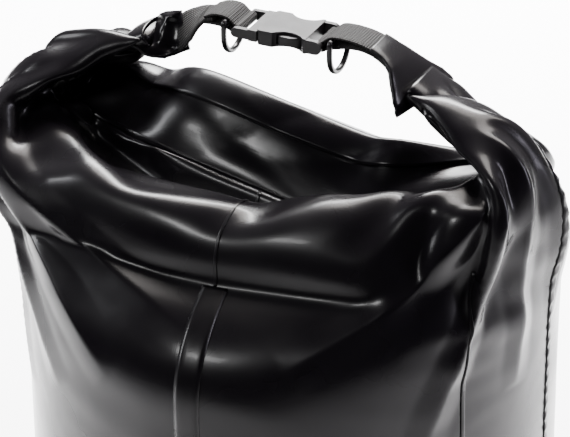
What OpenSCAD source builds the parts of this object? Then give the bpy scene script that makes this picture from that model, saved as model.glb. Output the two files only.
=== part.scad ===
// Roll-top dry bag, closed: the mouth is rolled down and its two ends are buckled into a carrying loop.
// Millimetres. Origin at the middle of the base, on the floor. +Z up, +X along the roll and the buckle,
// front towards -Y.

/* [Body] */
// Outer radius of the fabric body
body_r = 187; // [180:1:192]
// Height at which the straight wall turns over into the shoulder
rim_z = 452; // [440:1:460]
// How far the full body bulges just under the shoulders, at the two sides
side_bulge = 4; // [0:0.5:6]
// Wall thickness of the body panels
panel_t = 2; // [1:0.5:3]
// Thickness of the round base panel
base_t = 2.5; // [2:0.5:4]
// Height of the welded base band
welt_h = 26; // [15:1:40]

/* [Roll] */
// Height of the fold line where the panels enter the roll, at the middle
fold_mid_z = 505; // [500:1:508]
// Height of the fold line at its two ends
fold_end_z = 510; // [505:1:514]
// Half the length of the roll
roll_half = 104; // [95:1:110]
// Half the height of the flat roll, at the middle
roll_mid_a = 34; // [30:1:38]
// Half the height of the flat roll, at its ends
roll_end_a = 19; // [16:1:24]
// Half the thickness of the flat roll
roll_b = 9.5; // [8:0.5:12]
// Number of turns in the roll
roll_turns = 2; // [1.5:0.25:2.25]
// Tilt of the roll to the front at its middle, in degrees from upright
roll_tilt_mid = 45; // [30:1:55]
// Tilt of the roll to the front at its ends
roll_tilt_end = 15; // [5:1:30]

/* [Loop] */
// Height of the middle of the buckle
loop_z = 600; // [595:1:610]
// Width of the webbing
web_w = 25; // [20:1:25]
// Thickness of the webbing
web_t = 1.8; // [1.2:0.1:2]
// Distance of the D-ring bars from the middle of the buckle
ring_x = 38; // [37.5:0.5:40]

/* [Buckle] */
// Width of the buckle
buckle_w = 33; // [32:0.5:36]
// Thickness of the female half
female_t = 10.5; // [10:0.5:12]
// Thickness of the male frame
male_t = 8; // [7:0.5:9]
// Distance of each end bar from the middle of the buckle
bar_x = 30.3; // [29:0.1:31]
// Radius of the two end bars
bar_r = 2.2; // [2:0.1:2.4]

/* [Hidden] */

fabric_color = "#1d1a1f";
webbing_color = "#141214";
plastic_color = "#2a272a";

// Directions round the body are degrees from the front, positive towards +X.
phi_step = 6;
phi_front = 6;
phi_right_front = 66;
phi_right_side = 102;
phi_left_side = -phi_right_side;

wall_rows = [0, 0.06, 0.25, 0.45, 0.65, 0.82, 0.93, 1];
shoulder_rows = 13;
shoulder_row0 = len(wall_rows);
row_count = shoulder_row0 + shoulder_rows;

fold_half = 106;
fold_y = 4;
fold_gap = 3.5;
fold_t = 0.8;
shoulder_rise_mid = 16;
shoulder_rise_side = 66;
shoulder_top_mid = 461;
shoulder_top_side = 568;
shoulder_top_power = 1.4;
shoulder_in_mid = 0.29;
shoulder_in_side = 0.8;

crest_z = 540;
crest_end_rise = 32;
crest_y = 2;
roll_pitch = 2.6;
roll_t = 1.4;
roll_side_points = 18;
roll_stations = 24;
strip_t = 1;
strip_gap = 1.35;
strip_end = 108;

tab_t = 3.2;
tab_in_w = 29;
tab_out_w = 48;
tab_in = [77, 592];
tab_out = [111, 574];
tab_drop = 16;

web_gap = 0.25;
web_joined_x = 62;
web_high_z = 608;

ring_r = 2;
ring_half = 15;
ring_leg = 10;
ring_z = 604.8;

mouth_x = -13.5;
mouth_gap = 0.2;
end_x = bar_x + bar_r;
female_slot_x = 21.5;
male_slot_x = 20;
rail_t = 3.4;
female_rail_h = 9.4;
male_rail_h = 6.8;
cavity_y = 14.3;
cavity_z = 3.7;
cavity_end = 18.4;
window_x = 8.5;
window_y = 25.8;
window_r = 14.5;
prong_root_x = -15.9;
prong_y = 9.6;
prong_w = 3.2;
prong_h = 6.4;
prong_tip_x = 16.2;
head_x = 0.6;
head_y = 15.8;
root_r = 1.7;
root_gap = 0.2;
guide_w = 3;
guide_x = 12;

function mix(a, b, t) = a + (b - a) * t;
function smooth(t) = t * t * (3 - 2 * t);
function unit(v) = v / norm(v);
function bezier(a, b, c, d, t) =
    pow(1 - t, 3) * a + 3 * pow(1 - t, 2) * t * b + 3 * (1 - t) * t * t * c + pow(t, 3) * d;

// 0 at the front and the back of the body, 1 at its two sides
function sideness(phi) = pow(abs(sin(phi)), 2.4);
function outward(phi) = [sin(phi), -cos(phi), 0];
function fold_z(x) = mix(fold_mid_z, fold_end_z, pow(abs(x) / fold_half, 2));

// The fold line runs from side seam to side seam, once along the front panels and once along the back one.
function turned(phi) = phi > 180 ? phi - 360 : phi;
function fold_share(phi) =
    abs(turned(phi)) <= phi_right_side
        ? sin(90 * turned(phi) / phi_right_side)
        : sign(turned(phi)) * sin(90 * (180 - abs(turned(phi))) / (180 - phi_right_side));
// The front and back layers lie side by side there, and join at the ends.
function fold_side(phi) = abs(turned(phi)) <= phi_right_side ? -1 : 1;
function fold_point(phi) =
    let (share = fold_share(phi), x = fold_half * share)
    [x, fold_y + fold_side(phi) * fold_gap * (1 - share * share), fold_z(x)];

function wall_point(phi, t) =
    outward(phi) * (body_r + side_bulge * sideness(phi) * smooth(t)) + [0, 0, mix(base_t, rim_z, t)];
function shoulder_point(phi, t) =
    let (
        s = sideness(phi),
        rim = wall_point(phi, 1),
        mid = fold_point(phi),
        inner = mix(shoulder_in_mid, shoulder_in_side, s),
        steep = rim + [0, 0, mix(shoulder_rise_mid, shoulder_rise_side, s)],
        top_z = mix(shoulder_top_mid, shoulder_top_side, pow(s, shoulder_top_power)),
        top = [mix(mid.x, rim.x, inner), mix(mid.y, rim.y, inner), top_z]
    )
    bezier(rim, steep, top, mid, t);

// Rows 0 to 7 climb the wall, and the rest climb the shoulder to the fold line.
function body_point(phi, row) =
    row < shoulder_row0
        ? wall_point(phi, wall_rows[row])
        : shoulder_point(phi, (row - shoulder_row0 + 1) / shoulder_rows);
// The fold line turns back on itself at its ends, so its normals come from the row below.
function body_normal(phi, row) =
    let (
        i = min(row, row_count - 2),
        across = body_point(phi + 1, i) - body_point(phi - 1, i),
        up = body_point(phi, i + 1) - body_point(phi, i)
    )
    unit(cross(across, up));

// A closed shell over a grid of outer and inner points, rows of equal length
module shell(outer, inner) {
    rows = len(outer);
    cols = len(outer[0]);
    count = rows * cols;
    top = function (i, j) i * cols + j;
    low = function (i, j) count + i * cols + j;
    points = concat([for (row = outer, p = row) p], [for (row = inner, p = row) p]);
    faces = [
        for (i = [0 : rows - 2], j = [0 : cols - 2])
            each [
                [top(i, j), top(i + 1, j), top(i + 1, j + 1)],
                [top(i, j), top(i + 1, j + 1), top(i, j + 1)],
                [low(i, j), low(i + 1, j + 1), low(i + 1, j)],
                [low(i, j), low(i, j + 1), low(i + 1, j + 1)]
            ],
        for (j = [0 : cols - 2])
            each [
                [top(0, j), top(0, j + 1), low(0, j + 1), low(0, j)],
                [top(rows - 1, j + 1), top(rows - 1, j), low(rows - 1, j), low(rows - 1, j + 1)]
            ],
        for (i = [0 : rows - 2])
            each [
                [top(i + 1, 0), top(i, 0), low(i, 0), low(i + 1, 0)],
                [top(i, cols - 1), top(i + 1, cols - 1), low(i + 1, cols - 1), low(i, cols - 1)]
            ]
    ];
    polyhedron(points, faces, convexity = 6);
}

// A solid swept through closed rings of points, all of the same length
module loft(rings) {
    count = len(rings);
    size = len(rings[0]);
    at = function (i, j) i * size + (j % size);
    faces = [
        for (i = [0 : count - 2], j = [0 : size - 1])
            each [
                [at(i, j), at(i + 1, j), at(i + 1, j + 1)],
                [at(i, j), at(i + 1, j + 1), at(i, j + 1)]
            ],
        [for (j = [0 : size - 1]) j],
        [for (j = [size - 1 : -1 : 0]) at(count - 1, j)]
    ];
    polyhedron([for (ring = rings, p = ring) p], faces, convexity = 8);
}

// The panels thin out over their last rows, where the layers come together.
thin_rows = 3;
function panel_thick(row) = mix(fold_t, panel_t, min(1, (row_count - 1 - row) / thin_rows));

// A stretch of body fabric between two directions
module panel(phi0, phi1) {
    phis = [phi0 : phi_step : phi1];
    outer = [for (row = [0 : row_count - 1]) [for (phi = phis) body_point(phi, row)]];
    inner = [
        for (row = [0 : row_count - 1])
            [for (phi = phis) body_point(phi, row) - panel_thick(row) * body_normal(phi, row)]
    ];
    shell(outer, inner);
}

// A raised strip on the body, centred on one direction, between two rows
module seam(phi, half, row0, row1, proud0, proud1) {
    phis = [phi - half, phi, phi + half];
    at = function (proud) [
        for (row = [row0 : row1])
            [for (p = phis) body_point(p, row) + proud * body_normal(p, row)]
    ];
    shell(at(proud1), at(proud0));
}

module base_panel() {
    color(fabric_color)
        cylinder(r = body_r, h = base_t, $fn = 120);
}

module base_welt() {
    welt_in = body_r + 0.3;
    color(fabric_color)
        rotate_extrude($fn = 120)
            translate([welt_in, 0])
                square([1.7, welt_h]);
}

module front_left_panel() {
    color(fabric_color)
        panel(phi_left_side, phi_front);
}

module front_right_panel() {
    color(fabric_color)
        panel(phi_front, phi_right_front);
}

module right_side_panel() {
    color(fabric_color)
        panel(phi_right_front, phi_right_side);
}

module back_panel() {
    color(fabric_color)
        panel(phi_right_side, phi_left_side + 360);
}

module front_seam_tape() {
    color(fabric_color)
        seam(phi_front, 2.2, 1, shoulder_row0 + 2, 0.4, 1.3);
}

module right_front_seam() {
    color(fabric_color)
        seam(phi_right_front, 0.9, 1, shoulder_row0 + 3, 0.4, 1.2);
}

module right_side_seam() {
    color(fabric_color)
        seam(phi_right_side, 0.9, 1, shoulder_row0 + 5, 0.4, 1.6);
}

module left_side_seam() {
    color(fabric_color)
        seam(phi_left_side, 0.9, 1, shoulder_row0 + 5, 0.4, 1.6);
}

// The frame of the flat roll at x: its centre, and its long and short directions
function roll_share(x) = pow(min(1, abs(x) / roll_half), 2);
function roll_a(x) = mix(roll_mid_a, roll_end_a, roll_share(x));
function roll_tilt(x) = mix(roll_tilt_mid, roll_tilt_end, roll_share(x));
function roll_long(x) = [0, sin(roll_tilt(x)), cos(roll_tilt(x))];
function roll_short(x) = [0, -cos(roll_tilt(x)), sin(roll_tilt(x))];
function roll_centre(x) =
    [x, crest_y, crest_z + crest_end_rise * roll_share(x)] - roll_a(x) * roll_long(x);
function roll_point(x, angle, depth) =
    roll_centre(x) + (roll_a(x) - depth) * sin(angle) * roll_long(x)
        + (roll_b - depth) * cos(angle) * roll_short(x);

// A flat spiral of doubled fabric
module rolled_mouth() {
    steps = round(roll_turns * roll_side_points);
    turn = 360 / roll_side_points;
    fall = roll_pitch / roll_side_points;
    layer = function (depth) [
        for (i = [0 : roll_stations])
            let (x = mix(roll_half, -roll_half, i / roll_stations))
            [for (j = [0 : steps]) roll_point(x, j * turn, j * fall + depth)]
    ];
    color(fabric_color)
        shell(layer(0), layer(roll_t));
}

// A flat stiff strip at the core of the roll, on one side of its middle plane
module closure_strip(side) {
    half_w = 0.45;
    near = side * strip_gap - strip_t / 2;
    far = side * strip_gap + strip_t / 2;
    corners = [[-half_w, near], [half_w, near], [half_w, far], [-half_w, far]];
    station = function (x) [
        for (c = corners)
            [x, 0, 0] + (roll_centre(x) - [x, 0, 0]) + c[0] * roll_a(x) * roll_long(x) + c[1] * roll_short(x)
    ];
    loft([for (i = [0 : roll_stations]) station(mix(-strip_end, strip_end, i / roll_stations))]);
}

module closure_strip_front() {
    color("dimgray")
        closure_strip(1);
}

module closure_strip_back() {
    color("dimgray")
        closure_strip(-1);
}

// The fabric wrapped round the right end of the roll, with its cut edges at the bottom
module sleeve() {
    start = 82;
    finish = 102;
    stations = 4;
    proud_in = 0.5;
    proud_out = 1.7;
    layer = function (proud) [
        for (i = [0 : stations])
            [for (a = [-80 : 17 : 260]) roll_point(mix(finish, start, i / stations), a, -proud)]
    ];
    shell(layer(proud_out), layer(proud_in));
}

module left_sleeve() {
    color(fabric_color)
        mirror([1, 0, 0])
            sleeve();
}

module right_sleeve() {
    color(fabric_color)
        sleeve();
}

// A stiff tab over the end of the roll: it folds back towards the buckle and carries the webbing
module end_tab() {
    lean = unit(tab_out - tab_in);
    up = [-lean.y, lean.x];
    fold = [tab_out.x + 3, tab_out.y - 6];
    foot = [tab_out.x + 3, tab_out.y - 6 - tab_drop];
    section = [
        tab_in,
        tab_out,
        fold,
        foot,
        foot - [tab_t, 0],
        fold - [tab_t, 0],
        tab_out - tab_t * up,
        tab_in - tab_t * up
    ];
    plan = [
        [tab_in.x, -tab_in_w / 2],
        [tab_out.x, -tab_out_w / 2],
        [foot.x + 1, -tab_out_w / 2],
        [foot.x + 1, tab_out_w / 2],
        [tab_out.x, tab_out_w / 2],
        [tab_in.x, tab_in_w / 2]
    ];
    intersection() {
        rotate([90, 0, 0])
            linear_extrude(height = 2 * tab_out_w, center = true)
                polygon(section);
        translate([0, 0, foot.y - 1])
            linear_extrude(height = 60)
                polygon(plan);
    }
}

module left_end_tab() {
    color(fabric_color)
        mirror([1, 0, 0])
            end_tab();
}

module right_end_tab() {
    color(fabric_color)
        end_tab();
}

// Outline of a band of thickness t along a line of points
function band(line, t) =
    let (
        last = len(line) - 1,
        along = [for (i = [0 : last]) unit(line[min(i + 1, last)] - line[max(i - 1, 0)])],
        side = [for (d = along) [-d.y, d.x]]
    )
    concat(
        [for (i = [0 : last]) line[i] + side[i] * t / 2],
        [for (i = [last : -1 : 0]) line[i] - side[i] * t / 2]
    );

// The webbing loop of one side, seen along the width: over the D-ring bar, round the buckle's end bar and back
module webbing() {
    wrap_r = bar_r + web_gap + web_t / 2;
    lean = unit(tab_out - tab_in);
    up = [-lean.y, lean.x];
    sewn_far = tab_in + 17 * lean + (web_t / 2 + 0.1) * up;
    sewn_near = tab_in + (web_t / 2 + 0.1) * up;
    joined = [web_joined_x, 602.4];
    upper = [
        sewn_far,
        sewn_near,
        [70, 597.2],
        joined,
        [52, 606],
        [45, web_high_z - 0.2],
        [ring_x, web_high_z],
        [34, 606.2]
    ];
    wrap = [for (a = [80 : 20 : 280]) [bar_x, loop_z] + wrap_r * [cos(a), sin(a)]];
    lower = [
        [34, 598.6],
        [ring_x, 600.6],
        [46, 601.2],
        [54, 601],
        joined - [0, web_t * 0.9]
    ];
    rotate([90, 0, 0])
        linear_extrude(height = web_w, center = true)
            union() {
                polygon(band(upper, web_t));
                polygon(band(concat([[34, 606.2]], wrap, lower), web_t));
            }
}

module webbing_left() {
    color(webbing_color)
        mirror([1, 0, 0])
            webbing();
}

module webbing_right() {
    color(webbing_color)
        webbing();
}

// Two cross-stitched rows that sew the webbing to the tab
module bartack() {
    lean = unit(tab_out - tab_in);
    up = [-lean.y, lean.x];
    for (along = [3, 13]) {
        spot = tab_in + along * lean + (web_t + 0.12) * up;
        translate([spot.x, 0, spot.y])
            rotate([0, atan2(-lean.y, lean.x), 0])
                translate([-0.8, 2 - web_w / 2, 0])
                    cube([1.6, web_w - 4, 0.5]);
    }
}

module bartack_left() {
    color(webbing_color)
        mirror([1, 0, 0])
            bartack();
}

module bartack_right() {
    color(webbing_color)
        bartack();
}

// The bar at an end of the buckle that the webbing loops round
module end_bar(side) {
    translate([side * bar_x, 0, loop_z])
        rotate([90, 0, 0])
            cylinder(r = bar_r, h = buckle_w - 2 * rail_t + 0.4, center = true, $fn = 32);
}

// The pair of rails with rounded ends that carry an end bar
module rails(side, inner_x, height) {
    end_r = height / 2;
    length = end_x - end_r - inner_x;
    for (s = [-1, 1])
        translate([side * (end_x - end_r), s * (buckle_w - rail_t) / 2, loop_z]) {
            rotate([90, 0, 0])
                cylinder(r = end_r, h = rail_t, center = true, $fn = 48);
            translate([-side * length / 2, 0, 0])
                cube([length, rail_t, height], center = true);
        }
}

module buckle_male() {
    face_x = mouth_x - mouth_gap;
    color(plastic_color)
        difference() {
            union() {
                translate([-male_slot_x, -buckle_w / 2, loop_z - male_t / 2])
                    cube([male_slot_x + face_x, buckle_w, male_t]);
                rails(-1, male_slot_x - 1, male_rail_h);
                end_bar(-1);
                translate([face_x - 1, -guide_w / 2, loop_z - prong_h / 2])
                    cube([guide_x - face_x + 1, guide_w, prong_h]);
            }
            for (s = [-1, 1]) {
                translate([prong_root_x, s * prong_y, loop_z])
                    cylinder(r = root_r + root_gap, h = prong_h + 2 * root_gap, center = true, $fn = 32);
                translate([prong_root_x, s * prong_y - root_r - 0.9, loop_z - prong_h / 2 - root_gap])
                    cube([4, 2 * root_r + 1.8, prong_h + 2 * root_gap]);
            }
        }
}

// A springy arm of the male half: a root, a slim arm and a wide head that latches behind the window
module prong() {
    arm = [
        [prong_root_x, prong_y - prong_w / 2],
        [prong_tip_x, prong_y - prong_w / 2 + 0.8],
        [prong_tip_x + 0.8, prong_y + 1.4],
        [prong_tip_x - 1.8, head_y - 2],
        [prong_tip_x - 5, head_y - 0.4],
        [prong_tip_x - 8, head_y],
        [head_x + 3, head_y - 0.2],
        [head_x, head_y - 1.6],
        [head_x, prong_y + prong_w / 2],
        [prong_root_x, prong_y + prong_w / 2]
    ];
    translate([0, 0, loop_z - prong_h / 2])
        linear_extrude(height = prong_h)
            union() {
                polygon(arm);
                translate([prong_root_x, prong_y])
                    circle(r = root_r, $fn = 32);
            }
}

module prong_front() {
    color(plastic_color)
        mirror([0, 1, 0])
            prong();
}

module prong_back() {
    color(plastic_color)
        prong();
}

module buckle_female() {
    corner_r = 2;
    color(plastic_color)
        difference() {
            union() {
                translate([mouth_x, -buckle_w / 2, loop_z - female_t / 2])
                    cube([female_slot_x - mouth_x, buckle_w, female_t]);
                rails(1, female_slot_x - 1, female_rail_h);
                end_bar(1);
            }
            translate([mouth_x - 1, -cavity_y, loop_z - cavity_z])
                cube([cavity_end - mouth_x + 1, 2 * cavity_y, 2 * cavity_z]);
            for (s = [-1, 1]) {
                translate([window_x, s * window_y, loop_z])
                    cylinder(r = window_r, h = 2 * female_t, center = true, $fn = 64);
                translate([mouth_x, s * buckle_w / 2, loop_z])
                    rotate([0, 0, 45])
                        cube([corner_r, corner_r, 2 * female_t], center = true);
            }
        }
}

// A D-ring hanging from its straight bar, which lies along Y in the webbing loop
module d_ring(side) {
    section = 2 * ring_r - 0.4;
    translate([side * ring_x, 0, ring_z]) {
        rotate([90, 0, 0])
            cylinder(r = ring_r, h = 2 * ring_half, center = true, $fn = 32);
        for (s = [-1, 1]) {
            translate([0, s * ring_half, 0])
                rotate([90, 0, 0])
                    cylinder(r = ring_r, h = section, center = true, $fn = 32);
            translate([-section / 2, s * ring_half - section / 2, -ring_leg])
                cube([section, section, ring_leg]);
        }
        translate([0, 0, -ring_leg])
            rotate([0, 90, 0])
                rotate([0, 0, -90])
                    rotate_extrude(angle = 180, $fn = 48)
                        translate([ring_half - section / 2, -section / 2])
                            square(section);
    }
}

module d_ring_left() {
    color(plastic_color)
        d_ring(-1);
}

module d_ring_right() {
    color(plastic_color)
        d_ring(1);
}

base_panel();
base_welt();
front_left_panel();
front_right_panel();
right_side_panel();
back_panel();
front_seam_tape();
right_front_seam();
right_side_seam();
left_side_seam();
rolled_mouth();
closure_strip_front();
closure_strip_back();
left_sleeve();
right_sleeve();
left_end_tab();
right_end_tab();
webbing_left();
webbing_right();
bartack_left();
bartack_right();
buckle_male();
prong_front();
prong_back();
buckle_female();
d_ring_left();
d_ring_right();
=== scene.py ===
"""Roll-top dry bag: glossy coated fabric, simulated as cloth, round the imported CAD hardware.

Metres, +Z up, front -Y."""
import math

import bmesh
import bpy
import numpy as np
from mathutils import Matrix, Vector


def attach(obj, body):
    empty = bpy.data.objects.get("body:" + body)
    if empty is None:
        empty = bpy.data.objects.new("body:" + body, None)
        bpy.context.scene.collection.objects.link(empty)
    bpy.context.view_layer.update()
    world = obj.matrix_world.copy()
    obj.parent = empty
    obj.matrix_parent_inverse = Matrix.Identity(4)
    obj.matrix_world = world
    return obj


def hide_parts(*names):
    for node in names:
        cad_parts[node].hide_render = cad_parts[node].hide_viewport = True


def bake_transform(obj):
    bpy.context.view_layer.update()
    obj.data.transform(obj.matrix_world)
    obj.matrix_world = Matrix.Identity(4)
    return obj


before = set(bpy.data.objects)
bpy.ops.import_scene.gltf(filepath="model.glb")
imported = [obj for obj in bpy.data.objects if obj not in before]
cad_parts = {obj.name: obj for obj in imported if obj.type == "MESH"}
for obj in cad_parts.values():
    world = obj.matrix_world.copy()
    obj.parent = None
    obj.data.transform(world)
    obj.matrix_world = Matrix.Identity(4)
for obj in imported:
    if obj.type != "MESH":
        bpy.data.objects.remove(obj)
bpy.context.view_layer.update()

MM = 0.001
BAG_R = 0.185
HALF_WIDTH = math.pi * BAG_R
LOOP_Z = 0.600

# ---------------------------------------------------------------- cloth
COLS = 144
ROWS = 64
BAND_ROWS = 6
HALF = COLS // 2
SIM_FLOOR = 0.25
TUBE_TOP = 0.630
BAND_H = 0.070
FLAT_FROM = 0.43
FRAMES = 70
MOVE_FRAMES = 49

# The places where the band is held while it is folded: its columns, where their middle goes, their turn about X, Y
# and Z in degrees, how much their height shrinks, and how high the path there arches.
GRIPS = {
    "right_end": (range(0, 3), (0.100, 0, 0.580), (-90, -150, 0), 0.35, 0.07),
    "left_end": (range(HALF, HALF - 3, -1), (-0.100, 0, 0.580), (-90, 150, 0), 0.35, 0.07),
    "right_turn": (range(11, 14), (0.165, -0.005, 0.535), (-80, -80, 0), 0.15, 0.03),
    "left_turn": (range(HALF - 11, HALF - 14, -1), (-0.146, -0.005, 0.535), (-80, 80, 0), 0.15, 0.03),
    "middle": (range(HALF // 2 - 9, HALF // 2 + 10), (0, -0.025, 0.526), (-45, 12, 0), 0, 0),
}


def smooth(t):
    t = np.clip(t, 0, 1)
    return t * t * (3 - 2 * t)


def vid(i, j):
    return j * COLS + i % COLS


def band_id(i, k):
    """Vertex of the flat band: row 0 is its seam with the tube, rows 1 to BAND_ROWS stand above it."""
    tube = (ROWS + 1) * COLS
    if k == 0:
        return tube + BAND_ROWS * (HALF + 1) + i
    return tube + (k - 1) * (HALF + 1) + i


def ellipse_half_width(b):
    """The long half-axis that keeps the tube's girth when its short half-axis is b."""
    low, high = BAG_R, HALF_WIDTH / 1.9
    for _ in range(50):
        a = (low + high) / 2
        h = ((a - b) / (a + b)) ** 2
        girth = math.pi * (a + b) * (1 + 3 * h / (10 + math.sqrt(4 - 3 * h)))
        low, high = (a, high) if girth < 2 * HALF_WIDTH else (low, a)
    return low


def even_ellipse(a, b, n):
    """n points at even steps round an ellipse, from +X towards +Y."""
    th = np.linspace(0, 2 * math.pi, 4001)
    x, y = a * np.cos(th), b * np.sin(th)
    s = np.concatenate([[0], np.cumsum(np.hypot(np.diff(x), np.diff(y)))])
    t = np.arange(n) / n * s[-1]
    return np.interp(t, s, x), np.interp(t, s, y)


def flat_bag():
    """The bag before it is closed: a tube that flattens upwards into a flat band."""
    verts = []
    for j in range(ROWS + 1):
        z = SIM_FLOOR + (TUBE_TOP - SIM_FLOOR) * j / ROWS
        t = max(0, (z - FLAT_FROM) / (TUBE_TOP - FLAT_FROM))
        t = t * t * (3 - 2 * t) * 0.3 + t * 0.7
        b = BAG_R * (1 - t) + 0.004 * t
        x, y = even_ellipse(ellipse_half_width(b), b, COLS)
        verts += [(x[i], y[i], z) for i in range(COLS)]
    across = [verts[vid(i, ROWS)][0] for i in range(HALF + 1)]
    for k in range(1, BAND_ROWS + 1):
        verts += [(x, 0, TUBE_TOP + BAND_H * k / BAND_ROWS) for x in across]
    verts += [(x, 0, TUBE_TOP + 0.004) for x in across]
    faces = [(vid(i, j), vid(i + 1, j), vid(i + 1, j + 1), vid(i, j + 1)) for j in range(ROWS) for i in range(COLS)]
    for i in range(HALF):
        for k in range(BAND_ROWS):
            faces.append((band_id(i, k), band_id(i + 1, k), band_id(i + 1, k + 1), band_id(i, k + 1)))
        faces.append((vid(i, ROWS), vid(i + 1, ROWS), band_id(i + 1, 0), band_id(i, 0)))
        faces.append((vid(-i, ROWS), vid(-i - 1, ROWS), band_id(i + 1, 0), band_id(i, 0)))
    return np.array(verts, float), faces


def contents_point(phi, t):
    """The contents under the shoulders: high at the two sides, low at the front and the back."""
    r = BAG_R - 0.010
    side = abs(math.sin(phi)) ** 2
    rim = np.array([math.sin(phi) * r, -math.cos(phi) * r, 0.44])
    mid = np.array([0.11 * math.sin(phi), 0, 0.44])
    inner = 0.30 + 0.50 * side
    steep = rim + np.array([0, 0, 0.012 + 0.050 * side])
    top = mid + (rim - mid) * inner
    top[2] = 0.470 + 0.060 * side
    return (1 - t) ** 3 * rim + 3 * (1 - t) ** 2 * t * steep + 3 * (1 - t) * t * t * top + t ** 3 * mid


def contents_mesh():
    sides, steps = 64, 10
    angles = [2 * math.pi * i / sides for i in range(sides)]
    r = BAG_R - 0.010
    verts = [(r * math.sin(a), -r * math.cos(a), z) for z in (0, 0.2, 0.35, 0.40) for a in angles]
    verts += [tuple(contents_point(a, s / steps)) for s in range(steps + 1) for a in angles]
    rows = len(verts) // sides
    faces = [
        (j * sides + i, j * sides + (i + 1) % sides, (j + 1) * sides + (i + 1) % sides, (j + 1) * sides + i)
        for j in range(rows - 1) for i in range(sides)
    ]
    return verts, faces


def new_object(name, verts, faces):
    mesh = bpy.data.meshes.new(name)
    mesh.from_pydata([tuple(map(float, v)) for v in verts], [], faces)
    mesh.update()
    obj = bpy.data.objects.new(name, mesh)
    bpy.context.scene.collection.objects.link(obj)
    return obj


def key(obj, frame_no, **values):
    for name, value in values.items():
        setattr(obj, name, value)
        obj.keyframe_insert(name, frame=frame_no)


def hook(obj, name, indices, centre):
    empty = bpy.data.objects.new(name, None)
    bpy.context.scene.collection.objects.link(empty)
    empty.location = centre
    bpy.context.view_layer.update()
    modifier = obj.modifiers.new(name, "HOOK")
    modifier.object = empty
    modifier.vertex_indices_set([int(i) for i in indices])
    modifier.matrix_inverse = empty.matrix_world.inverted()
    return empty


def simulate_bag():
    """Folds the band's ends up towards the buckle, presses the contents up inside, and gives the cloth's points."""
    verts, faces = flat_bag()
    bag = new_object("bag_cloth", verts, faces)
    groups = {
        name: [band_id(i, k) for k in range(BAND_ROWS + 1) for i in columns]
        for name, (columns, *_) in GRIPS.items()
    }
    pinned = sum(groups.values(), []) + [vid(i, j) for i in range(COLS) for j in range(2)]
    bag.vertex_groups.new(name="pin").add(pinned, 1, "REPLACE")
    bag.vertex_groups.new(name="stiff").add(list(range((ROWS + 1) * COLS, len(verts))), 1, "REPLACE")
    bag.vertex_groups.new(name="press").add(list(range((ROWS + 1) * COLS)), 1, "REPLACE")
    hooks = []
    for name, (_, place, turn, shrink, arc) in GRIPS.items():
        centre = Vector(verts[groups[name]].mean(0))
        empty = hook(bag, name, groups[name], centre)
        hooks.append(empty)
        for f in range(1, MOVE_FRAMES + 1):
            s = float(smooth((f - 1) / (MOVE_FRAMES - 1)))
            lift = Vector((0, 0, arc * math.sin(math.pi * s)))
            key(empty, f, location=centre.lerp(Vector(place), s) + lift,
                rotation_euler=[math.radians(angle) * s for angle in turn], scale=(1, 1, 1 - shrink * s))
    modifier = bag.modifiers.new("cloth", "CLOTH")
    cloth = modifier.settings
    cloth.quality = 6
    cloth.mass = 0.0036
    cloth.air_damping = 2
    cloth.tension_stiffness = cloth.compression_stiffness = 60
    cloth.shear_stiffness = 25
    cloth.bending_stiffness = 1.2
    cloth.tension_damping = cloth.compression_damping = 15
    cloth.shear_damping = 10
    cloth.bending_damping = 0.5
    cloth.vertex_group_mass = "pin"
    cloth.pin_stiffness = 1
    cloth.vertex_group_bending = "stiff"
    cloth.bending_stiffness_max = 60
    cloth.use_pressure = True
    cloth.uniform_pressure_force = 1.0
    cloth.vertex_group_pressure = "press"
    hits = modifier.collision_settings
    hits.distance_min = 0.004
    hits.collision_quality = 2
    hits.use_self_collision = True
    hits.self_distance_min = 0.003
    hits.self_friction = 2
    modifier.point_cache.frame_start = 1
    modifier.point_cache.frame_end = FRAMES
    contents = new_object("contents", *contents_mesh())
    contents.modifiers.new("collision", "COLLISION")
    contents.collision.thickness_outer = 0.004
    contents.collision.cloth_friction = 5
    key(contents, 1, scale=(1, 1, 0.8))
    key(contents, int(MOVE_FRAMES * 0.85), scale=(1, 1, 1))
    scene = bpy.context.scene
    scene.frame_start, scene.frame_end = 1, FRAMES
    for f in range(1, FRAMES + 1):
        scene.frame_set(f)
    mesh = bpy.data.meshes.new_from_object(bag.evaluated_get(bpy.context.evaluated_depsgraph_get()))
    points = np.array([v.co for v in mesh.vertices])
    for obj in [bag, contents, *hooks]:
        bpy.data.objects.remove(obj)
    scene.frame_set(1)
    return points


# ---------------------------------------------------------------- surfaces
def spline_weights(t):
    return np.array([(1 - t) ** 3, 3 * t ** 3 - 6 * t ** 2 + 4, -3 * t ** 3 + 3 * t ** 2 + 3 * t + 1, t ** 3]) / 6


class Patch:
    """A smooth surface over a grid of points, [row, column]. Its columns may close on themselves."""

    def __init__(self, grid, closed):
        self.grid, self.closed = grid, closed
        self.rows, self.cols = grid.shape[:2]

    def at(self, u, v):
        """Points at columns u and rows v, arrays of one shape."""
        u, v = np.broadcast_arrays(np.asarray(u, float), np.asarray(v, float))
        iu, iv = np.floor(u).astype(int), np.floor(v).astype(int)
        wu, wv = spline_weights(u - iu), spline_weights(v - iv)
        out = np.zeros(u.shape + (3,))
        for a in range(4):
            row = np.clip(iv + a - 1, 0, self.rows - 1)
            for b in range(4):
                col = iu + b - 1
                col = col % self.cols if self.closed else np.clip(col, 0, self.cols - 1)
                out += (wv[a] * wu[b])[..., None] * self.grid[row, col]
        return out

    def normal(self, u, v, step=0.25):
        du = self.at(np.asarray(u) + step, v) - self.at(np.asarray(u) - step, v)
        dv = self.at(u, np.asarray(v) + step) - self.at(u, np.asarray(v) - step)
        n = np.cross(du, dv)
        return n / np.maximum(np.linalg.norm(n, axis=-1, keepdims=True), 1e-9)


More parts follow.
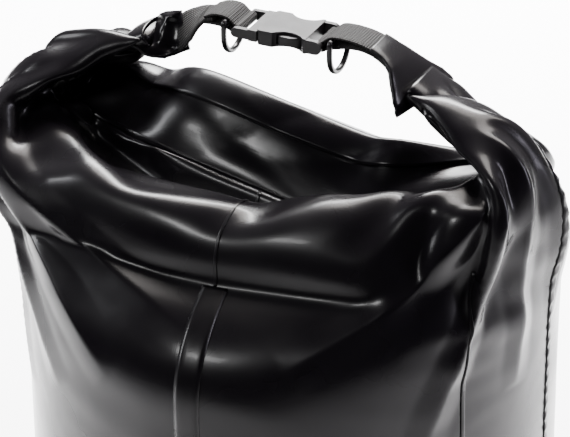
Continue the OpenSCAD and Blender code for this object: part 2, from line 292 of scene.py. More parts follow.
def grid_faces(rows, cols, closed=False, start=0):
    last = cols if closed else cols - 1
    return [
        (start + j * cols + i, start + j * cols + (i + 1) % cols,
         start + (j + 1) * cols + (i + 1) % cols, start + (j + 1) * cols + i)
        for j in range(rows - 1) for i in range(last)
    ]


def add_uv(obj, uv):
    """uv gives one (u, v) a vertex, in metres."""
    layer = obj.data.uv_layers.new(name="cloth")
    index = np.zeros(len(obj.data.loops), int)
    obj.data.loops.foreach_get("vertex_index", index)
    layer.data.foreach_set("uv", np.asarray(uv, np.float32)[index].ravel())


def shade_smooth(obj):
    obj.data.polygons.foreach_set("use_smooth", [True] * len(obj.data.polygons))


def sheet_object(name, outer, thick, uv=None, closed=False):
    """A thin closed cloth over a grid of points [row, column, xyz], thick towards the inside."""
    rows, cols = outer.shape[:2]
    gu = np.roll(outer, -1, 1) - np.roll(outer, 1, 1) if closed else np.gradient(outer, axis=1)
    n = np.cross(gu, np.gradient(outer, axis=0))
    n /= np.maximum(np.linalg.norm(n, axis=-1, keepdims=True), 1e-9)
    inner = outer - n * thick
    count = rows * cols
    faces = grid_faces(rows, cols, closed)
    faces += [tuple(reversed([count + k for k in f])) for f in grid_faces(rows, cols, closed)]
    last = cols if closed else cols - 1
    for i in range(last):
        k = (i + 1) % cols
        faces.append((k, i, count + i, count + k))
        top = (rows - 1) * cols
        faces.append((top + i, top + k, count + top + k, count + top + i))
    if not closed:
        for j in range(rows - 1):
            a, b = j * cols, (j + 1) * cols
            faces.append((a, b, count + b, count + a))
            a, b = a + cols - 1, b + cols - 1
            faces.append((b, a, count + a, count + b))
    obj = new_object(name, np.concatenate([outer.reshape(-1, 3), inner.reshape(-1, 3)]), faces)
    if uv is not None:
        add_uv(obj, np.concatenate([uv.reshape(-1, 2)] * 2))
    shade_smooth(obj)
    return obj


def loft_object(name, rings, uv=None, caps=True):
    """A solid through closed rings of points [ring, point, xyz]."""
    count, size = rings.shape[:2]
    faces = grid_faces(count, size, closed=True)
    if caps:
        faces += [tuple(range(size - 1, -1, -1)), tuple((count - 1) * size + k for k in range(size))]
    obj = new_object(name, rings.reshape(-1, 3), faces)
    if uv is not None:
        add_uv(obj, uv.reshape(-1, 2))
    shade_smooth(obj)
    return obj


# ---------------------------------------------------------------- materials
def shader(name, color, roughness, coat=0.0, sheen=0.0, specular=0.5):
    mat = bpy.data.materials.new(name)
    mat.use_nodes = True
    bsdf = mat.node_tree.nodes["Principled BSDF"]
    bsdf.inputs["Base Color"].default_value = (*color, 1)
    bsdf.inputs["Roughness"].default_value = roughness
    bsdf.inputs["Coat Weight"].default_value = coat
    bsdf.inputs["Coat Roughness"].default_value = 0.08
    bsdf.inputs["Sheen Weight"].default_value = sheen
    bsdf.inputs["Specular IOR Level"].default_value = specular
    return mat, mat.node_tree, bsdf


def math_node(tree, kind, a, b=None):
    node = tree.nodes.new("ShaderNodeMath")
    node.operation = kind
    for socket, value in zip(node.inputs, (a, b)):
        if value is None:
            continue
        if isinstance(value, (int, float)):
            socket.default_value = value
        else:
            tree.links.new(value, socket)
    return node.outputs[0]


def noise_node(tree, vector, scale, detail=3.0):
    node = tree.nodes.new("ShaderNodeTexNoise")
    node.inputs["Scale"].default_value = scale
    node.inputs["Detail"].default_value = detail
    tree.links.new(vector, node.inputs["Vector"])
    return node.outputs["Fac"]


def bump_chain(tree, bsdf, layers):
    """layers are (height, strength, distance in metres)."""
    normal = None
    for height, strength, distance in layers:
        bump = tree.nodes.new("ShaderNodeBump")
        bump.inputs["Strength"].default_value = strength
        bump.inputs["Distance"].default_value = distance
        tree.links.new(height, bump.inputs["Height"])
        if normal is not None:
            tree.links.new(normal, bump.inputs["Normal"])
        normal = bump.outputs["Normal"]
    tree.links.new(normal, bsdf.inputs["Normal"])
    return normal


def ramp(tree, value, low, high, out_low, out_high):
    node = tree.nodes.new("ShaderNodeMapRange")
    tree.links.new(value, node.inputs["Value"])
    for name, number in (("From Min", low), ("From Max", high), ("To Min", out_low), ("To Max", out_high)):
        node.inputs[name].default_value = number
    return node.outputs["Result"]


def uv_axes(tree):
    uv = tree.nodes.new("ShaderNodeUVMap")
    uv.uv_map = "cloth"
    split = tree.nodes.new("ShaderNodeSeparateXYZ")
    tree.links.new(uv.outputs["UV"], split.inputs["Vector"])
    return split.outputs["X"], split.outputs["Y"]


def ribs(tree, axis, pitch):
    """0 to 1, once every pitch metres along the axis."""
    turn = math_node(tree, "MULTIPLY", axis, 2 * math.pi / pitch)
    return math_node(tree, "MULTIPLY_ADD", math_node(tree, "SINE", turn), 0.5)


def object_coords(tree):
    return tree.nodes.new("ShaderNodeTexCoord").outputs["Object"]


def fabric_material(name="coated_fabric", color=(0.0045, 0.0038, 0.0050), rough=(0.19, 0.33)):
    mat, tree, bsdf = shader(name, color, 0.3, coat=0.04, specular=0.20)
    place = object_coords(tree)
    x, y = uv_axes(tree)
    weave = math_node(tree, "ADD", ribs(tree, x, 1.5 * MM), ribs(tree, y, 1.1 * MM))
    tree.links.new(ramp(tree, noise_node(tree, place, 14), 0.3, 0.7, *rough), bsdf.inputs["Roughness"])
    bump_chain(tree, bsdf, [
        (noise_node(tree, place, 22, 2), 0.22, 2.0 * MM),
        (noise_node(tree, place, 420, 2), 0.07, 0.25 * MM),
        (weave, 0.05, 0.08 * MM),
    ])
    return mat


def webbing_material():
    mat, tree, bsdf = shader("webbing", (0.006, 0.005, 0.005), 0.7, sheen=0.05, specular=0.25)
    x, y = uv_axes(tree)
    cross = ribs(tree, y, 1.7 * MM)
    along = ribs(tree, x, 1.8 * MM)
    weave = math_node(
        tree, "ADD", math_node(tree, "MULTIPLY", cross, 0.55), math_node(tree, "MULTIPLY", along, 0.55))
    shade = tree.nodes.new("ShaderNodeMix")
    shade.data_type = "RGBA"
    tree.links.new(weave, shade.inputs["Factor"])
    shade.inputs["A"].default_value = (0.0018, 0.0016, 0.0016, 1)
    shade.inputs["B"].default_value = (0.0095, 0.0082, 0.0082, 1)
    tree.links.new(shade.outputs["Result"], bsdf.inputs["Base Color"])
    fuzz = noise_node(tree, object_coords(tree), 900, 2)
    bump_chain(tree, bsdf, [(weave, 0.9, 0.55 * MM), (fuzz, 0.3, 0.15 * MM)])
    return mat


def plastic_material(name, color, rough, grain):
    mat, tree, bsdf = shader(name, color, rough, specular=0.3)
    place = object_coords(tree)
    uneven = ramp(tree, noise_node(tree, place, 60), 0.3, 0.7, rough - 0.05, rough + 0.07)
    tree.links.new(uneven, bsdf.inputs["Roughness"])
    bump_chain(tree, bsdf, [(noise_node(tree, place, 2600, 2), grain, 0.06 * MM)])
    return mat


def plain_material(name, color, rough):
    mat, tree, bsdf = shader(name, color, rough)
    tree.links.new(
        ramp(tree, noise_node(tree, object_coords(tree), 300), 0.3, 0.7, rough - 0.08, rough + 0.08),
        bsdf.inputs["Roughness"])
    return mat


FABRIC = fabric_material()
TAPE = fabric_material("seam_tape", (0.0040, 0.0034, 0.0044), (0.24, 0.34))
WEBBING = webbing_material()
BUCKLE = plastic_material("buckle_plastic", (0.0085, 0.0075, 0.0085), 0.42, 0.35)
RING = plastic_material("ring_plastic", (0.008, 0.007, 0.008), 0.28, 0.12)
THREAD = plain_material("thread", (0.012, 0.011, 0.012), 0.7)


def dress(obj, material, body="bag", replaces=()):
    obj.data.materials.clear()
    obj.data.materials.append(material)
    if body:
        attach(obj, body)
    if replaces:
        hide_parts(*replaces)
    return obj


# ---------------------------------------------------------------- the body
ROLL_ROWS = BAND_ROWS + 1
BAND_ROUNDS = 10    # rounds of softening along the band
JOIN_ROWS = 8       # first rows of the simulated tube, which is held there: drawn over from the wall below
WALL_ROUNDS = 40    # rounds of softening of the straight wall and the front
SOFTEN = 4          # rounds of softening everywhere else
LEAN = 0.006
LOW_WALL = [0.0028, 0.010, 0.022, 0.045, 0.085, 0.130, 0.175, 0.215]
TUBE_ROW0 = len(LOW_WALL)


def blurred(grid, rounds):
    """The grid with each point drawn to its four neighbours, rounds times; the first and last rows stay."""
    for _ in range(rounds):
        side = (np.roll(grid, 1, 1) + np.roll(grid, -1, 1)) / 2
        rise = grid.copy()
        rise[1:-1] = (grid[:-2] + grid[2:]) / 2
        mixed = 0.5 * grid + 0.25 * side + 0.25 * rise
        grid = np.concatenate([grid[:1], mixed[1:-1], grid[-1:]])
    return grid


def calmed(tube):
    """Takes the small ripples out of the cloth: a few rounds over the folds, many over the wall and the front."""
    share = smooth((36 - np.arange(len(tube))) / 20)[:, None, None]
    front = smooth((-0.085 - tube[..., 1]) / 0.05)[..., None]
    share = np.maximum(share, 0.85 * front)
    return blurred(tube, SOFTEN) * (1 - share) + blurred(tube, WALL_ROUNDS) * share


def sunk(tube):
    """Lets the slack cloth behind the roll sink below its sloping crest."""
    x, y, z = tube[..., 0], tube[..., 1], tube[..., 2]
    limit = 0.553 - 0.21 * x - 0.70 * y
    share = smooth((0.095 + (y - 0.03) - np.abs(x)) / 0.03) * smooth((y - 0.005) / 0.03)
    out = tube.copy()
    out[..., 2] = z - 0.85 * share * np.maximum(0, z - limit)
    return out


def leaned(grid):
    """The full bag leans a little to its right: the wall moves over, and the base and the roll stay."""
    z = grid[..., 2]
    share = smooth(z / 0.25) * (1 - smooth((z - 0.41) / 0.10))
    return grid + LEAN * share[..., None] * np.array([math.cos(math.radians(25)), math.sin(math.radians(25)), 0])


def body_grid(points, band_points):
    """All the body's rows, from the base to the line where it enters the roll."""
    tube = calmed(sunk(points[: (ROWS + 1) * COLS].reshape(ROWS + 1, COLS, 3)))
    angle = np.arctan2(tube[0, :, 1], tube[0, :, 0])
    rows = []
    for z in LOW_WALL:
        swell = 1.5 * MM * math.sin(math.pi * min(1, z / SIM_FLOOR)) + 0.5 * MM
        pucker = 1.1 * MM * math.exp(-z / 0.05) * np.sin(23 * angle + 2 * np.sin(5 * angle)) * smooth(z / 0.03)
        slack = 0.5 * MM * np.sin(5 * angle + 9 * z) * np.sin(math.pi * min(1, z / SIM_FLOOR))
        r = BAG_R + swell + pucker + slack
        rows.append(np.stack([r * np.cos(angle), r * np.sin(angle), np.full(COLS, z)], -1))
    low, high = rows[-1], tube[JOIN_ROWS]
    for j in range(JOIN_ROWS):
        t = (tube[j, :, 2:] - low[:, 2:]) / (high[:, 2:] - low[:, 2:])
        tube[j, :, :2] = low[:, :2] * (1 - t) + high[:, :2] * t
    seam = np.array([band_points[0, min(i, COLS - i)] for i in range(COLS)])
    return np.concatenate([leaned(np.concatenate([np.array(rows), tube])), seam[None]])


def column_of(phi):
    """Column of the cloth at phi degrees from the front, positive towards +X."""
    return (phi - 90) / 360 * COLS % COLS


def crease(u, v, start, end, width):
    """A soft ridge along a line from start to end in the plane of u and v, 1 on the line and lower towards its end."""
    a, b = np.array(start, float), np.array(end, float)
    p = np.stack([u, v], -1)
    t = np.clip(((p - a) @ (b - a)) / ((b - a) @ (b - a)), 0, 1)
    gap = np.linalg.norm(p - a - t[..., None] * (b - a), axis=-1)
    return np.maximum(0, 1 - gap / width) ** 1.3 * smooth(t / 0.25) * (1 - t) ** 0.6


# Taut folds that fan out from the two tabs over the front: start and end as (degrees from the front, height in the
# flat cloth), how far the fold stands out, and half its width, in metres; the last two are times FAN_HEIGHT and
# FAN_WIDTH.
FAN_HEIGHT = 1.8
FAN_WIDTH = 1.3
FANS = [
    ((-76, 0.585), (-16, 0.430), 0.0055, 0.017),
    ((-82, 0.585), (-33, 0.395), 0.0050, 0.015),
    ((-86, 0.590), (-52, 0.360), 0.0050, 0.014),
    ((-92, 0.590), (-70, 0.345), 0.0045, 0.014),
    ((-70, 0.560), (2, 0.470), 0.0040, 0.015),
    ((68, 0.560), (22, 0.455), 0.0040, 0.014),
    ((76, 0.585), (50, 0.370), 0.0055, 0.014),
    ((84, 0.590), (78, 0.400), 0.0050, 0.013),
    ((92, 0.590), (97, 0.420), 0.0045, 0.014),
]


def fan_height(u, v):
    """How far the taut folds stand out of the body at columns u and rows v."""
    phi = (np.asarray(u, float) / COLS * 360 + 90 + 180) % 360 - 180
    across = np.radians(phi) * BAG_R
    up = SIM_FLOOR + (np.asarray(v, float) - TUBE_ROW0) * (TUBE_TOP - SIM_FLOOR) / ROWS
    across, up = np.broadcast_arrays(across, up)
    total = np.zeros(across.shape)
    for (phi0, z0), (phi1, z1), height, width in FANS:
        start, end = (math.radians(phi0) * BAG_R, z0), (math.radians(phi1) * BAG_R, z1)
        total += FAN_HEIGHT * height * crease(across, up, start, end, FAN_WIDTH * width)
    return total


def body_point(body, u, v, lift=0.0):
    """Points on the body's outer face, or lift metres over it."""
    uu, vv = np.broadcast_arrays(np.asarray(u, float), np.asarray(v, float))
    return body.at(uu, vv) + body.normal(uu, vv, 0.6) * (fan_height(uu, vv) + lift)[..., None]


def cloth_uv(u, v):
    u, v = np.broadcast_arrays(np.asarray(u, float), np.asarray(v, float))
    return np.stack([u / COLS * 2 * HALF_WIDTH, v * (TUBE_TOP - SIM_FLOOR) / ROWS], -1)


def unwrap(obj, period):
    """Mends the UVs of the faces that cross the last column of a closed cloth."""
    layer = obj.data.uv_layers["cloth"].data
    for face in obj.data.polygons:
        us = [layer[k].uv[0] for k in face.loop_indices]
        if max(us) - min(us) > period / 2:
            for k in face.loop_indices:
                if layer[k].uv[0] < period / 2:
                    layer[k].uv[0] += period


def make_body(body):
    u = np.arange(0, COLS, 1 / 3)
    v = np.arange(0, body.rows - 0.99, 1 / 3)
    uu, vv = np.meshgrid(u, v)
    outer = body_point(body, uu, vv)
    obj = sheet_object("body_fabric", outer, 0.7 * MM, cloth_uv(uu, vv), closed=True)
    unwrap(obj, 2 * HALF_WIDTH)
    dress(obj, FABRIC,
          replaces=("front_left_panel", "front_right_panel", "right_side_panel", "back_panel"))
    return obj


def make_seam(body, name, phi, half_mm, v0, v1, proud, node, pucker=0.0):
    """A strip that follows one column of the body, its ends squared off."""
    v = np.arange(v0, v1 + 0.01, 0.5)
    half = half_mm * MM / (2 * HALF_WIDTH / COLS)
    s = np.linspace(-1, 1, 7)
    ss, vv = np.meshgrid(s, v)
    uu = column_of(phi) + ss * half * (1 + pucker * 0.3 * np.sin(vv * 5.1))
    lift = proud * (1 - 0.75 * ss ** 6) + pucker * MM * np.sin(vv * 3.7) * (1 - ss ** 2)
    lift = lift * np.where((vv == v[0]) | (vv == v[-1]), 0.1, 1)
    outer = body_point(body, uu, vv, lift + 0.2 * MM)
    obj = sheet_object(name, outer, 0.5 * MM, cloth_uv(uu, vv))
    return dress(obj, TAPE, replaces=(node,) if node else ())


def disc_object(name, radius, z0, z1, count=160):
    angle = np.linspace(0, 2 * math.pi, count, endpoint=False)
    profile = [(0.0, z1), (radius * 0.5, z1), (radius - 1.5 * MM, z1), (radius, z1 - 0.6 * MM),
               (radius, z0 + 0.8 * MM), (radius - 1.5 * MM, z0), (radius * 0.5, z0), (0.0, z0)]
    rings = np.array([[(r * math.cos(a) + 1e-6, r * math.sin(a), z) for a in -angle] for r, z in profile])
    return loft_object(name, rings, np.stack([rings[..., 0], rings[..., 1]], -1), caps=False)


BASE_DISC_R = 0.1868
BASE_BAND_PROUD = 0.9 * MM


def make_base(body):
    disc = disc_object("base_disc", BASE_DISC_R, 0.0, 2.6 * MM)
    dress(disc, FABRIC, replaces=("base_panel",))
    v = np.linspace(0, 2.9, 12)
    u = np.arange(0, COLS, 0.5)
    uu, vv = np.meshgrid(u, v)
    height = body.at(uu, vv)
    outer = height + body.normal(uu, vv) * BASE_BAND_PROUD
    outer[0, :, 2] = 0.4 * MM
    welt = sheet_object("base_band", outer, 0.7 * MM, cloth_uv(uu, vv * 2), closed=True)
    unwrap(welt, 2 * HALF_WIDTH)
    dress(welt, TAPE, replaces=("base_welt",))
    return welt


# ---------------------------------------------------------------- the roll


def soft_band(points):
    """The band's points, [row, column], with its sharp turns along its length rounded off."""
    grid = np.array([[points[band_id(i, k)] for i in range(HALF + 1)] for k in range(ROLL_ROWS)])
    share = smooth((27 - np.abs(np.arange(HALF + 1) - HALF / 2)) / 8)[None, :, None]
    for _ in range(BAND_ROUNDS):
        mean = grid.copy()
        mean[:, 1:-1] = (grid[:, :-2] + grid[:, 2:]) / 2
        grid = grid * (1 - share / 2) + mean * share / 2
    return grid


def roll_surface(band, u, angle, extra=0.0):
    """Points on the fat flat roll, u columns along it and angle round it: 0 at its crest, 90 degrees at its back."""
    side = np.abs(2 * u / HALF - 1)
    long, short = np.cos(angle), np.sin(angle)
    v = (1 + long) / 2 * (ROLL_ROWS - 1)
    thick = (6.0 - 2.0 * side ** 3) * MM
    share = (u / HALF) * 2 - 1
    waves = 2.2 * MM * np.sin(2.3 * share + 2.2 * long) + 1.8 * MM * np.sin(6.1 * share - 1.7 * long + 0.8)
    folds = 7.0 * MM * crease(share, long, (0.55, 1.3), (-0.15, -0.8), 0.22)
    folds += 6.0 * MM * crease(share, long, (0.22, 1.3), (0.42, -0.9), 0.18)
    folds += 6.0 * MM * crease(share, long, (-0.45, 1.3), (0.05, -0.5), 0.20)
    folds += 5.0 * MM * crease(share, long, (-0.10, 1.3), (0.16, -0.9), 0.14)
    face = np.where(short < 0, 1.0, 0.3) * np.abs(short) ** 0.6
    depth = np.sign(short) * np.abs(short) * (thick + extra) + (waves - folds * 0.6) * face * np.sign(short)
    n = band.normal(u, np.clip(v, 0.3, ROLL_ROWS - 1.3))
    return band.at(u, v) + n * depth[..., None]


def make_roll(band):
    u = np.linspace(0, HALF, 220)
    a = np.linspace(0, 2 * math.pi, 56, endpoint=False)
    aa, uu = np.meshgrid(a, u)
    rings = roll_surface(band, uu, aa)
    uv = np.stack([aa * 0.024, uu / HALF * HALF_WIDTH], -1)
    roll = loft_object("roll_inner_turns", rings, uv)
    dress(roll, FABRIC, replaces=("rolled_mouth", "closure_strip_front", "closure_strip_back"))
    edge = np.radians(-68) + 0.10 * np.sin(u / HALF * 9)
    steps = np.linspace(0, 1, 60)
    angle = edge[:, None] + (np.radians(215) - edge)[:, None] * steps
    uu = np.broadcast_to(u[:, None], angle.shape)
    outer = roll_surface(band, uu, angle, 1.5 * MM)
    uv = np.stack([angle * 0.024, uu / HALF * HALF_WIDTH], -1)
    turn = sheet_object("roll_outer_turn", outer[::-1], 1.0 * MM, uv[::-1])
    dress(turn, FABRIC)
    return [roll, turn]


# ---------------------------------------------------------------- tabs and webbing
def curve_points(points, n):
    """n points along a Catmull-Rom curve through the given points, evenly spread by length."""
    p = np.array(points, float)
    p = np.concatenate([[2 * p[0] - p[1]], p, [2 * p[-1] - p[-2]]])
    out = []
    for k in range(1, len(p) - 2):
        for t in np.linspace(0, 1, 24, endpoint=False):
            a, b, c, d = p[k - 1: k + 3]
            bend, twist = 2 * a - 5 * b + 4 * c - d, 3 * b - a - 3 * c + d
            out.append(0.5 * (2 * b + (c - a) * t + bend * t ** 2 + twist * t ** 3))
    out = np.array(out + [p[-2]])
    s = np.concatenate([[0], np.cumsum(np.linalg.norm(np.diff(out, axis=0), axis=1))])
    want = np.linspace(0, s[-1], n)
    return np.stack([np.interp(want, s, out[:, k]) for k in range(out.shape[1])], -1)


def flat_section(half_w, half_t, n=10):
    """A flat band's outline with rounded edges, as (across, out) pairs, counter-clockwise."""
    r = half_t
    right = [(half_w - r + r * math.cos(a), r * math.sin(a)) for a in np.linspace(-math.pi / 2, math.pi / 2, 5)]
    left = [(-x, -y) for x, y in right]
    top = [(x, half_t) for x in np.linspace(half_w - r, -half_w + r, n)[1:-1]]
    low = [(-x, -y) for x, y in top]
    return np.array(right + top + left + low)


def band_object(name, centres, across, widths, thicks):
    """A flat band along centres; across gives its width direction at each centre."""
    c = np.asarray(centres, float)
    along = np.gradient(c, axis=0)
    along /= np.linalg.norm(along, axis=1, keepdims=True)
    w = np.asarray(across, float)
    w = w - (w * along).sum(1, keepdims=True) * along
    w /= np.linalg.norm(w, axis=1, keepdims=True)
    out = np.cross(along, w)
    s = np.concatenate([[0], np.cumsum(np.linalg.norm(np.diff(c, axis=0), axis=1))])
    rings, uv = [], []
    for i in range(len(c)):
        sec = flat_section(widths[i] / 2, thicks[i] / 2)
        rings.append(c[i] + sec[:, :1] * w[i] + sec[:, 1:] * out[i])
        uv.append(np.stack([sec[:, 0], np.full(len(sec), s[i])], -1))
    return loft_object(name, np.array(rings), np.array(uv))


def resample(rows, n):
    rows = np.array(rows, float)
    at = np.linspace(0, len(rows) - 1, n)
    return np.stack([np.interp(at, np.arange(len(rows)), rows[:, k]) for k in range(rows.shape[1])], -1)


WEB_W = 25 * MM
WEB_T = 1.7 * MM
BAR_X, BAR_TURN = 30.3, 3.2     # millimetres: where the buckle's bars are, and how tightly the webbing goes round them


def make_right_webbing():
    """Two layers from the buckle's bar, with the ring's bar between them, into the right tab."""
    bar = [
        (BAR_X + BAR_TURN * math.cos(a), LOOP_Z / MM + BAR_TURN * math.sin(a))
        for a in np.radians([70, 110, 150, 190, 230, 270, 300])
    ]
    line = [(84, 592), (77, 597.6), (69, 602.8), (60, 606.2), (50, 607.8), (42, 608), (36.5, 607)] + bar
    line += [(35.5, 599.2), (42, 600.9), (50, 602.6), (60, 602.6), (69, 599.8), (78, 593.6)]
    centres = curve_points([(x * MM, 0, z * MM) for x, z in line], 120)
    n = len(centres)
    obj = band_object("webbing_right_loop", centres, [(0, 1, 0)] * n, [WEB_W] * n, [WEB_T] * n)
    return dress(obj, WEBBING, replaces=("webbing_right",))


def make_left_webbing():
    """From the male half's bar over the ring, then a quarter twist to face the front, into the crumpled tab."""
    bar = [
        (-BAR_X - BAR_TURN * math.cos(a), LOOP_Z / MM + BAR_TURN * math.sin(a))
        for a in np.radians([300, 270, 230, 190, 150, 110, 70])
    ]
    under = [(-54, 600.4), (-46, 600.8), (-40, 600.4), (-35.5, 599.2)]
    over = [(-36.5, 607), (-42, 608), (-48, 607.2), (-54, 604.4)]
    centres = curve_points([(x * MM, 0, z * MM) for x, z in under + bar + over], 90)
    n = len(centres)
    loop = band_object("webbing_left_loop", centres, [(0, 1, 0)] * n, [WEB_W] * n, [WEB_T] * n)
    dress(loop, WEBBING, body="male_half", replaces=("webbing_left",))
    path = curve_points([
        (-47, 0, 604), (-53, 0, 602.8), (-60, -1, 599.5), (-67, -2, 594), (-75, -3, 586.5), (-83, -4, 581),
        (-91, -5, 576),
    ], 60)
    turn = resample([
        (0, 1, 0), (0, 1, 0.05), (0.0, 0.9, 0.45), (0.15, 0.6, 0.8), (0.35, 0.4, 0.85), (0.42, 0.35, 0.85),
        (0.42, 0.35, 0.85),
    ], 60)
    n = len(path)
    twist = band_object("webbing_left_twist", path * MM, turn, [WEB_W] * n, np.linspace(3.2, 3.0, n) * MM)
    twist.data.materials.append(WEBBING)
    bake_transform(twist)


def tab_rings(rows, n, crumple=0.0):
    """Flattened tube sections; each row is centre, width direction, width, thickness."""
    r = resample(rows, n)
    centres = curve_points([row[:3] for row in rows], n)
    along = np.gradient(centres, axis=0)
    along /= np.linalg.norm(along, axis=1, keepdims=True)
    w = r[:, 3:6]
    w = w - (w * along).sum(1, keepdims=True) * along
    w /= np.linalg.norm(w, axis=1, keepdims=True)
    out = np.cross(along, w)
    angle = np.linspace(0, 2 * math.pi, 48, endpoint=False)
    rings = []
    for i in range(n):
        t = i / (n - 1)
        x = np.sign(np.cos(angle)) * np.abs(np.cos(angle)) ** 0.6 * r[i, 6] / 2
        y = np.sign(np.sin(angle)) * np.abs(np.sin(angle)) ** 0.7 * r[i, 7] / 2
        fold = np.sin(3 * angle + 5 * t) * 0.35 + np.abs(np.sin(2.5 * angle + 8 * t + 1)) * 0.9
        fold = fold + np.sin(7 * angle - 9 * t) * 0.25
        y = y + crumple * (fold - 0.6) * math.sin(math.pi * min(1, 0.15 + t))
        x = x * (1 + crumple * 18 * np.sin(4 * t + angle))
        rings.append(centres[i] + x[:, None] * w[i] + y[:, None] * out[i])
    return np.array(rings)


def make_right_tab():
    rows = np.array([
        (65.5, 0, 605.0, 0.0, 1, 0, 26.5, 4.5),
        (73, 0, 601.0, 0.05, 1, -0.05, 29, 5.5),
        (82, 0, 594.0, 0.15, 1, -0.12, 36, 6.5),
        (90, -1, 585.5, 0.35, 1, -0.22, 46, 6.5),
        (97, -2, 578.0, 0.60, 1, -0.36, 57, 6.0),
        (100.5, -2.5, 573.0, 0.62, 1, -0.38, 59, 4.0),
    ])
    rows[:, :3] *= MM
    rows[:, 6:] *= MM
    rings = tab_rings(rows, 50)
    obj = loft_object("right_tab", rings, ring_uv(rings))
    return dress(obj, FABRIC, replaces=("right_end_tab", "right_sleeve"))


def make_left_tab():
    rows = np.array([
        (-73, -2, 587, 0.42, 0.35, 0.85, 27, 4.0),
        (-80, -3, 584, 0.45, 0.35, 0.80, 30, 8.0),
        (-88, -4, 580, 0.6, 0.4, 0.65, 33, 11.0),
        (-97, -4, 575, 0.8, 0.4, 0.45, 36, 12.0),
        (-106, -4, 568, 0.9, 0.4, 0.3, 38, 11.0),
    ])
    rows[:, :3] *= MM
    rows[:, 6:] *= MM
    rings = tab_rings(rows, 60, crumple=2.4 * MM)
    obj = loft_object("left_tab", rings, ring_uv(rings))
    return dress(obj, FABRIC, replaces=("left_end_tab", "left_sleeve"))


def ring_uv(rings):
    """UVs in metres over a lofted tube."""
    round_ = np.linalg.norm(np.roll(rings, -1, 1) - rings, axis=-1)
    u = np.cumsum(round_, axis=1)
    v = np.cumsum(np.concatenate([[0], np.linalg.norm(np.diff(rings.mean(1), axis=0), axis=1)]))
    return np.stack([u, np.broadcast_to(v[:, None], u.shape)], -1)


def make_bartacks():
    """Rows of thread across the webbing where it enters the tabs."""
    for side, node in ((1, "bartack_right"), (-1, "bartack_left")):
        stitches = []
        for x, z in ((57.5, 606.9), (60.0, 606.2)) if side > 0 else ((-59.5, 603.2), (-61.5, 602.3)):
            for y in np.arange(-10.2, 10.3, 1.7):
                stitches.append((x, y if side > 0 else y * 0.9, z))
        bm = bmesh.new()
        for x, y, z in stitches:
            ring = bmesh.ops.create_icosphere(bm, subdivisions=2, radius=0.55 * MM)
            bmesh.ops.scale(bm, vec=(1, 1.35, 0.6), verts=ring["verts"])
            bmesh.ops.translate(bm, vec=(x * MM, y * MM, z * MM), verts=ring["verts"])
        mesh = bpy.data.meshes.new(node + "_thread")
        bm.to_mesh(mesh)
        bm.free()
        obj = bpy.data.objects.new(node + "_thread", mesh)
        bpy.context.scene.collection.objects.link(obj)
        shade_smooth(obj)
        dress(obj, THREAD, replaces=(node,))


# ---------------------------------------------------------------- hardware
def softened(node, name, material, body, width):
    """The CAD node's own mesh, with its edges rounded off."""
    obj = bpy.data.objects.new(name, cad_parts[node].data.copy())
    bpy.context.scene.collection.objects.link(obj)
    bm = bmesh.new()
    bm.from_mesh(obj.data)
    bmesh.ops.remove_doubles(bm, verts=bm.verts, dist=1e-6)
    bmesh.ops.dissolve_limit(bm, angle_limit=math.radians(1), verts=bm.verts, edges=bm.edges)
    bm.to_mesh(obj.data)
    bm.free()
    bevel = obj.modifiers.new("round", "BEVEL")
    bevel.width = width
    bevel.segments = 3
    bevel.limit_method = "ANGLE"
    bevel.angle_limit = math.radians(35)
    shade_smooth(obj)
    obj.modifiers.new("flat_faces", "WEIGHTED_NORMAL").keep_sharp = False
    return dress(obj, material, body, replaces=(node,))


def make_ring(node, side, body):
    """A moulded D-ring: a straight bar along Y, two legs and a round bow below."""
    x, z = side * 38 * MM, 604.8 * MM
    half, leg = 15 * MM, 10 * MM
    path = [(0, -half + 2.5 * MM), (0, 0), (0, half - 2.5 * MM), (-0.6 * MM, half - 0.7 * MM), (-2.5 * MM, half)]
    bow = np.radians([20, 45, 70, 90, 110, 135, 160])
    path += [(-leg, half)] + [(-leg - half * math.sin(a), half * math.cos(a)) for a in bow]
    path += [(-leg, -half), (-2.5 * MM, -half), (-0.6 * MM, -half + 0.7 * MM)]
    closed = path + path[:1]
    line = curve_points([(0, y, dz) for dz, y in closed], 121)[:-1]
    along = np.roll(line, -1, 0) - np.roll(line, 1, 0)
    along /= np.linalg.norm(along, axis=1, keepdims=True)
    out = np.cross(along, [1.0, 0, 0])
    angle = np.linspace(0, 2 * math.pi, 16, endpoint=False)
    sx = np.sign(np.cos(angle)) * np.abs(np.cos(angle)) ** 0.7 * 1.8 * MM
    so = np.sign(np.sin(angle)) * np.abs(np.sin(angle)) ** 0.7 * 1.8 * MM
    rings = np.array([
        [(x + sx[k], p[1] + o[1] * so[k], z + p[2] + o[2] * so[k]) for k in range(16)] for p, o in zip(line, out)
    ])
    faces = grid_faces(len(line), 16, closed=True)
    last = (len(line) - 1) * 16
    faces += [(last + k, last + (k + 1) % 16, (k + 1) % 16, k) for k in range(16)]
    obj = new_object(node + "_moulded", rings.reshape(-1, 3), faces)
    shade_smooth(obj)
    return dress(obj, RING, body, replaces=(node,))


# ---------------------------------------------------------------- the object
cloth_points = simulate_bag()
band_points = soft_band(cloth_points)
body = Patch(body_grid(cloth_points, band_points), closed=True)
band = Patch(band_points, closed=False)

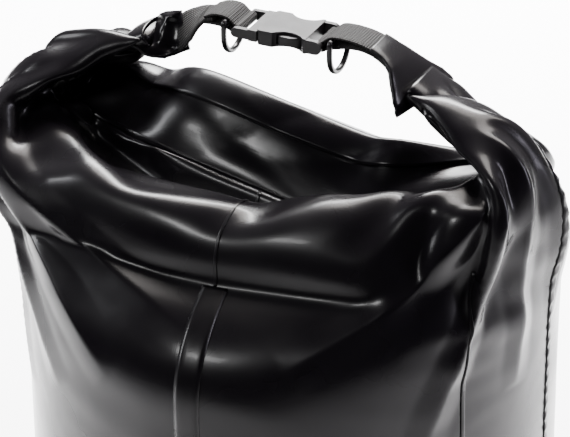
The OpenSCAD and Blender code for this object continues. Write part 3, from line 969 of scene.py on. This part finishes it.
fabric = make_body(body)
tapes = [
    make_seam(body, "front_seam_strip", 3, 9.0, 2.5, TUBE_ROW0 + 43, 0.9 * MM, "front_seam_tape"),
    make_seam(body, "front_seam_line", 3, 1.2, TUBE_ROW0 + 43, TUBE_ROW0 + 63, 0.5 * MM, None),
    make_seam(body, "right_front_seam_strip", 62, 1.8, 2.5, TUBE_ROW0 + 44, 0.8 * MM, "right_front_seam"),
    make_seam(body, "right_side_seam_strip", 94, 3.0, 2.5, TUBE_ROW0 + 50, 0.9 * MM, "right_side_seam", pucker=0.7),
    make_seam(body, "left_side_seam_strip", -100, 3.0, 2.5, TUBE_ROW0 + 50, 0.9 * MM, "left_side_seam", pucker=0.7),
]
welt = make_base(body)
roll, turn = make_roll(band)
make_right_webbing()
make_left_webbing()
make_right_tab()
make_left_tab()
make_bartacks()
softened("buckle_female", "buckle_female_moulded", BUCKLE, "bag", 0.7 * MM)
softened("buckle_male", "buckle_male_moulded", BUCKLE, "male_half", 0.6 * MM)
softened("prong_front", "prong_front_moulded", BUCKLE, "prong_front_arm", 0.5 * MM)
softened("prong_back", "prong_back_moulded", BUCKLE, "prong_back_arm", 0.5 * MM)
make_ring("d_ring_left", -1, "d_ring_left_body")
make_ring("d_ring_right", 1, "d_ring_right_body")


# ---------------------------------------------------------------- studio
def soft_light(name, place, target, size, power, color=(1, 1, 1)):
    data = bpy.data.lights.new(name, "AREA")
    data.shape = "RECTANGLE"
    data.size, data.size_y = size
    data.energy = power
    data.color = color
    obj = bpy.data.objects.new(name, data)
    bpy.context.scene.collection.objects.link(obj)
    obj.location = place
    obj.rotation_euler = (Vector(target) - Vector(place)).to_track_quat("-Z", "Y").to_euler()
    return obj


def make_floor():
    half = 4.0
    corners = [(-half, -half, 0), (half, -half, 0), (half, half, 0), (-half, half, 0)]
    floor = new_object("floor", corners, [(0, 1, 2, 3)])
    mat, _, _ = shader("floor", (0.93, 0.93, 0.94), 0.8)
    floor.data.materials.append(mat)


def make_world():
    world = bpy.data.worlds.new("studio")
    bpy.context.scene.world = world
    world.use_nodes = True
    tree = world.node_tree
    background = tree.nodes["Background"]
    split = tree.nodes.new("ShaderNodeSeparateXYZ")
    tree.links.new(tree.nodes.new("ShaderNodeTexCoord").outputs["Generated"], split.inputs["Vector"])
    depth = ramp(tree, split.outputs["Y"], -0.3, 0.8, 0.01, 0.45)
    tree.links.new(depth, background.inputs["Strength"])
    background.inputs["Color"].default_value = (1.0, 0.97, 0.98, 1)


make_floor()
make_world()
soft_light("top", (0.0, 0.75, 1.9), (0, 0.1, 0.45), (1.5, 0.8), 62, (1.0, 0.95, 0.91))
soft_light("left", (-1.5, -0.5, 1.2), (0, 0, 0.5), (0.22, 1.1), 24, (0.96, 0.97, 1.0))
soft_light("right", (1.5, 0.3, 1.0), (0, 0, 0.45), (0.16, 1.3), 15, (0.90, 0.86, 1.0))
soft_light("front", (-0.55, -1.6, 1.9), (0, 0, 0.5), (0.45, 0.2), 15)
backdrop = soft_light("backdrop", (-0.75, 1.9, 2.3), (-0.6, 1.3, 0), (1.8, 1.2), 270)
backdrop.data.spread = math.radians(95)

camera_data = bpy.data.cameras.new("camera")
camera = bpy.data.objects.new("camera", camera_data)
bpy.context.scene.collection.objects.link(camera)
target = Vector((-0.0007, 0, 0.4595))
azimuth, elevation, distance = math.radians(25), math.radians(29), 2.0
level = math.cos(elevation)
offset = Vector((math.sin(azimuth) * level, -math.cos(azimuth) * level, math.sin(elevation)))
camera.location = target + distance * offset
camera.rotation_euler = (-offset).to_track_quat("-Z", "Y").to_euler()
camera_data.lens = 186.5
camera_data.sensor_width = 36
bpy.context.scene.camera = camera
